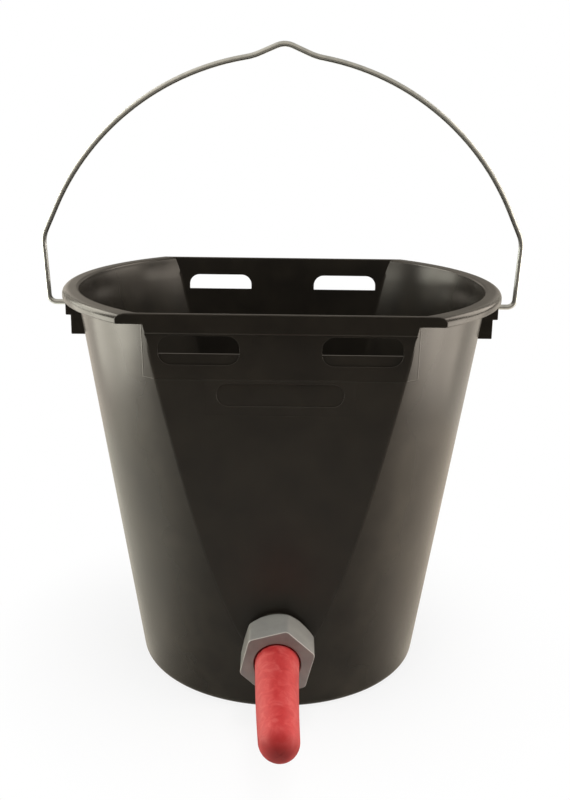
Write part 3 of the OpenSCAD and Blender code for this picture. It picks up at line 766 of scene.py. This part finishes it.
# The studio: a pale round table before a white backdrop. To the camera the table turns pure white away from
# the pail. In reflections it is a warm white at the sides and darker near the pail and in front.
bpy.context.scene.view_settings.view_transform = "Standard"
table_r = 0.5
table = bmesh.new()
bmesh.ops.create_circle(table, segments=96, radius=table_r, cap_ends=True)
mesh = bpy.data.meshes.new("table")
table.to_mesh(mesh)
table.free()
floor = bpy.data.objects.new("table", mesh)
bpy.context.scene.collection.objects.link(floor)
paper, tree = new_material("white_table")
place = add_node(tree, "TexCoord").outputs["Object"]
axes = add_node(tree, "SeparateXYZ", {"Vector": place}).outputs
ray = add_node(tree, "LightPath").outputs
mirrored = add_node(tree, "Math", {0: ray["Is Glossy Ray"], 1: ray["Is Transmission Ray"]},
                    operation="MAXIMUM")
away = add_node(tree, "VectorMath", {0: place}, operation="LENGTH").outputs["Value"]
whiteness = add_node(tree, "MapRange", {"Value": away, "From Min": 0.1, "From Max": 0.22, "To Min": 0.86})
whiteness = add_node(tree, "Math", {0: ray["Is Camera Ray"], 1: whiteness}, operation="MULTIPLY")
forward = add_node(tree, "Math", {0: axes["Y"], 1: away}, operation="DIVIDE")
forward = add_node(tree, "MapRange", {"Value": forward, "From Min": -0.8, "From Max": -0.3, "To Min": 0.38})
near = add_node(tree, "MapRange", {"Value": away, "From Min": 0.12, "From Max": 0.24, "To Min": 0.85})
mirror_level = add_node(tree, "Math", {0: near, 1: forward}, operation="MULTIPLY")
tint = add_node(tree, "MapRange", {"Value": axes["X"], "From Min": -0.2, "From Max": 0.2})
tint = add_node(tree, "ValToRGB", {"Fac": tint}, stops=((0.0, "#fff9e8"), (1.0, "#fff0dc")))
matt = add_node(tree, "BsdfDiffuse", {"Color": linear("#f2f2f2")})
white = add_node(tree, "Emission", {"Color": linear("#ffffff"), "Strength": 1.0})
warm = add_node(tree, "Emission", {"Color": tint, "Strength": mirror_level})
seen = add_node(tree, "MixShader", {0: whiteness, 1: matt, 2: white})
mixed = add_node(tree, "MixShader", {0: mirrored, 1: seen, 2: warm})
add_node(tree, "OutputMaterial", {"Surface": mixed})
mesh.materials.append(paper)

# The backdrop is white to the camera. In reflections it is a dim room, white below the horizon and bright to
# both sides of the middle, under a pale ceiling that is brightest on the left.
ambient = 0.28
world = bpy.data.worlds.new("studio")
bpy.context.scene.world = world
world.use_nodes = True
tree = world.node_tree
tree.nodes.clear()
ray = add_node(tree, "LightPath").outputs
mirrored = add_node(tree, "Math", {0: ray["Is Glossy Ray"], 1: ray["Is Transmission Ray"]},
                    operation="MAXIMUM")
place = add_node(tree, "TexCoord").outputs["Generated"]
aim = add_node(tree, "SeparateXYZ", {"Vector": place}).outputs
aside = add_node(tree, "Math", {0: aim["X"]}, operation="ABSOLUTE")
rise = add_node(tree, "MapRange", {"Value": aside, "From Min": 0.1, "From Max": 0.35, "To Min": 0.2})
fall = add_node(tree, "MapRange", {"Value": aside, "From Min": 0.4, "From Max": 0.6,
                                   "To Min": 1.0, "To Max": 0.3})
to_right = add_node(tree, "MapRange", {"Value": aim["X"], "From Min": -0.2, "From Max": 0.2,
                                       "To Min": 1.0, "To Max": 0.65})
sides = add_node(tree, "Math", {0: rise, 1: fall}, operation="MINIMUM")
sides = add_node(tree, "Math", {0: sides, 1: to_right}, operation="MULTIPLY")
from_left = add_node(tree, "MapRange", {"Value": aim["X"], "From Min": -0.6, "From Max": -0.2,
                                        "To Min": 1.0, "To Max": 0.6})
ceiling = add_node(tree, "MapRange", {"Value": aim["Z"], "From Min": 0.2, "From Max": 0.45})
ceiling = add_node(tree, "Math", {0: from_left, 1: ceiling}, operation="MULTIPLY")
below = add_node(tree, "MapRange", {"Value": aim["Z"], "From Min": -0.05, "From Max": 0.03,
                                    "To Min": 1.0, "To Max": 0.0})
mirror_level = add_node(tree, "Math", {0: sides, 1: ceiling}, operation="MAXIMUM")
mirror_level = add_node(tree, "Math", {0: mirror_level, 1: below}, operation="MAXIMUM")
mirror_level = add_node(tree, "Math", {0: mirrored, 1: mirror_level}, operation="MULTIPLY")
strength = add_node(tree, "Math", {0: ray["Is Camera Ray"], 1: ambient}, operation="MAXIMUM")
strength = add_node(tree, "Math", {0: strength, 1: mirror_level}, operation="MAXIMUM")
colour = add_node(tree, "ValToRGB", {"Fac": mirrored}, stops=((0.0, "#ffffff"), (1.0, "#fff4e4")))
backdrop = add_node(tree, "Background", {"Color": colour, "Strength": strength})
add_node(tree, "OutputWorld", {"Surface": backdrop})

# Soft lamps stand on both sides in strips of different brightness, low enough for their lower edge to show on
# the pail's round sides. Those behind show only in reflections, on the roll of the rim. One hangs above.
side_low = -0.215
left = (-1.0, "#fffbeb")
right = (1.0, "#fff3e4")


def soft_lamp(name, place, target, size, radiance, colour):
    """A rectangular lamp at a place, turned to a target, as bright as that many white papers."""
    light = bpy.data.lights.new(name, "AREA")
    light.shape = "RECTANGLE"
    light.color = linear(colour)[:3]
    light.size, light.size_y = size
    light.energy = radiance * size[0] * size[1] * math.pi
    lamp = bpy.data.objects.new(name, light)
    bpy.context.scene.collection.objects.link(lamp)
    lamp.location = place
    lamp.rotation_euler = (Vector(target) - Vector(place)).to_track_quat("-Z", "Y").to_euler()
    lamp.visible_camera = False
    return lamp


# Each strip has its side, its ends in Y, its ends in Z and its brightness.
side_strips = ((left, -0.45, -0.15, -0.16, 0.6, 3.6),
               (left, -0.15, 0.22, -0.19, 0.3, 5.4),
               (left, 0.22, 0.75, side_low, 0.3, 2.3),
               (left, 0.45, 0.85, 0.34, 0.8, 3.4),
               (right, -0.45, -0.19, side_low, 0.6, 4.2),
               (right, -0.19, 0.14, side_low, 0.45, 3.9),
               (right, 0.14, 0.5, side_low, 0.3, 2.2))
rim_strips = ((left, 0.2, 0.45, 0.34, 1.1, 4.6),
              (left, 0.45, 1.0, 0.8, 1.25, 4.6),
              (right, 0.25, 1.0, 0.45, 1.25, 3.2))
for name, strips in (("side_lamp", side_strips), ("rim_lamp", rim_strips)):
    for (x, colour), y0, y1, z0, z1, radiance in strips:
        middle = Vector((x, (y0 + y1) / 2, (z0 + z1) / 2))
        lamp = soft_lamp(name, middle, middle - Vector((x, 0, 0)), (y1 - y0, z1 - z0), radiance, colour)
        lamp.visible_diffuse = strips is side_strips
top_lamp = soft_lamp("top_lamp", (0.2, -0.17, 1.5), (0, -0.1, 0), (1.1, 0.4), 11.0, "#ffffff")
top_lamp.visible_glossy = False

# A curved card on the camera's side keeps the front and its reflections dark. It is nearly black at the
# pail's height, grey below the table and, in reflections only, paler towards its top. The camera doesn't
# see it.
card_r = 1.1
card_ends = math.radians(15)
card_top = 1.0
card_bottom = -1.3
card = bmesh.new()
start = Vector((-card_r * math.cos(card_ends), -card_r * math.sin(card_ends), 0))
edge = card.edges.new([card.verts.new((start.x, start.y, z)) for z in (card_bottom, card_top)])
bmesh.ops.spin(card, geom=edge.verts[:] + [edge], cent=(0, 0, 0), axis=(0, 0, 1), dvec=(0, 0, 0),
               angle=math.pi - 2 * card_ends, steps=48)
mesh = bpy.data.meshes.new("dark_card")
card.to_mesh(mesh)
card.free()
dark_card = bpy.data.objects.new("dark_card", mesh)
bpy.context.scene.collection.objects.link(dark_card)
dark_card.visible_camera = False
felt, tree = new_material("graded_card")
place = add_node(tree, "TexCoord").outputs["Object"]
level = add_node(tree, "SeparateXYZ", {"Vector": place}).outputs["Z"]
mirrored = add_node(tree, "LightPath").outputs["Is Glossy Ray"]
upper = add_node(tree, "MapRange", {"Value": level, "From Min": 0.2, "From Max": 0.6, "To Max": 0.6})
lower = add_node(tree, "MapRange", {"Value": level, "From Min": -0.15, "From Max": -0.08,
                                    "To Min": 0.38, "To Max": 0.05})
strength = add_node(tree, "Math", {0: mirrored, 1: upper, 2: lower}, operation="MULTIPLY_ADD")
glow = add_node(tree, "Emission", {"Color": linear("#fff0dc"), "Strength": strength})
add_node(tree, "OutputMaterial", {"Surface": glow})
mesh.materials.append(felt)

# The camera stands a little above the rim, straight in front of the teat, and looks down.
image_h = 800
focal_px = 1070.96
camera_data = bpy.data.cameras.new("camera")
camera_data.sensor_fit = "VERTICAL"
camera_data.sensor_height = 36
camera_data.lens = camera_data.sensor_height * focal_px / image_h
camera = bpy.data.objects.new("camera", camera_data)
bpy.context.scene.collection.objects.link(camera)
camera.location = (2.364 * mm, -712.012 * mm, 388.327 * mm)
yaw, down, roll = 0.0007, 0.2823, 0.0126
camera.rotation_euler = (Matrix.Rotation(-yaw, 3, "Z") @ Matrix.Rotation(math.pi / 2 - down, 3, "X")
                         @ Matrix.Rotation(roll, 3, "Z")).to_euler()
bpy.context.scene.camera = camera
